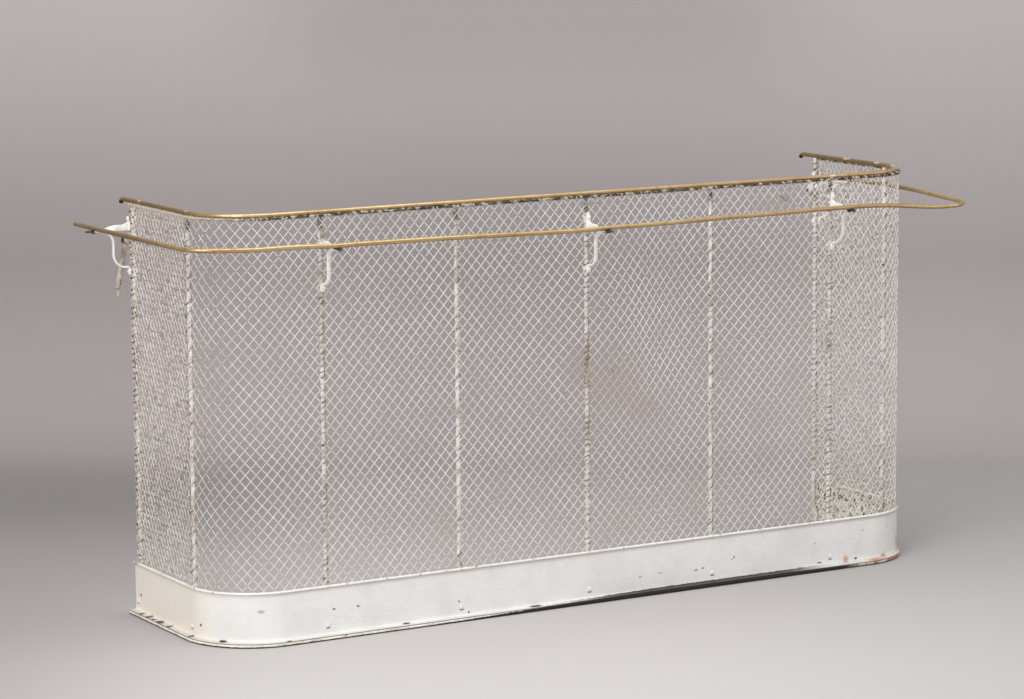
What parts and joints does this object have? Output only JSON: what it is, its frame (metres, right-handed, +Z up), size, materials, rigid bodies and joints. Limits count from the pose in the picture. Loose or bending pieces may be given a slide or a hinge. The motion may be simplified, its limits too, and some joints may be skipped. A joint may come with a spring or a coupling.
{
  "type": "fire fender",
  "caption": "U-shaped wire-mesh hearth guard on a sheet-iron plinth, with a round top rail, an outer airing rail on brackets and swinging wall hooks.",
  "frame": {"origin": "on the floor, in the middle of the box round the whole fender", "axes": "+X along the front, to the right seen from the room; +Y from the room to the wall; +Z up"},
  "size_m": [1.412, 0.442, 0.6425],
  "materials": {
    "white_paint": "aged white gloss paint, thick on the wires, chipped to dark iron and rust",
    "cream_paint": "yellowed cream paint over iron, rusty along its edges",
    "brass": "old drawn brass tube, dull gold with brown patina",
    "dark_iron": "blackened, bare iron"
  },
  "bodies": {
    "root": {"plinth_sheet": "white_paint", "plinth_bead": "white_paint", "base_bar": "cream_paint", "rear_rod_left": "white_paint", "corner_rod_left": "white_paint", "front_rod_1": "white_paint", "front_rod_2": "white_paint", "front_rod_3": "white_paint", "front_rod_4": "white_paint", "front_rod_5": "white_paint", "corner_rod_right": "white_paint", "rear_rod_right": "white_paint", "top_rail": "brass", "selvedge_wire": "dark_iron", "mesh_return_left": "white_paint", "mesh_corner_left": "white_paint", "mesh_front": "white_paint", "mesh_corner_right": "white_paint", "mesh_return_right": "white_paint", "airing_rail": "brass", "strap_rear_left": "white_paint", "strap_front_left": "white_paint", "strap_front_middle": "white_paint", "strap_front_right": "white_paint", "strap_rear_right": "white_paint", "brace_rear_left": "white_paint", "brace_front_left": "white_paint", "brace_front_middle": "white_paint", "brace_front_right": "white_paint", "brace_rear_right": "white_paint", "rail_screws": "dark_iron", "bracket_rivets": "white_paint", "plinth_rivets": "white_paint", "rod_ties": "cream_paint", "rail_ties": "dark_iron", "hook_lug_left": "white_paint", "hook_lug_right": "white_paint", "hook_pin_left": "dark_iron", "hook_pin_right": "dark_iron"},
    "left_hook": {"wall_hook_left": "white_paint"},
    "right_hook": {"wall_hook_right": "white_paint"}
  },
  "joints": [
    {"name": "left_hook_swing", "type": "hinge", "parent": "root", "child": "left_hook", "pos_m": [-0.6345, 0.169, 0.578], "axis": [1, 0, 0], "range_deg": [-5, 100]},
    {"name": "right_hook_swing", "type": "hinge", "parent": "root", "child": "right_hook", "pos_m": [0.6345, 0.169, 0.578], "axis": [1, 0, 0], "range_deg": [-5, 100]}
  ]
}
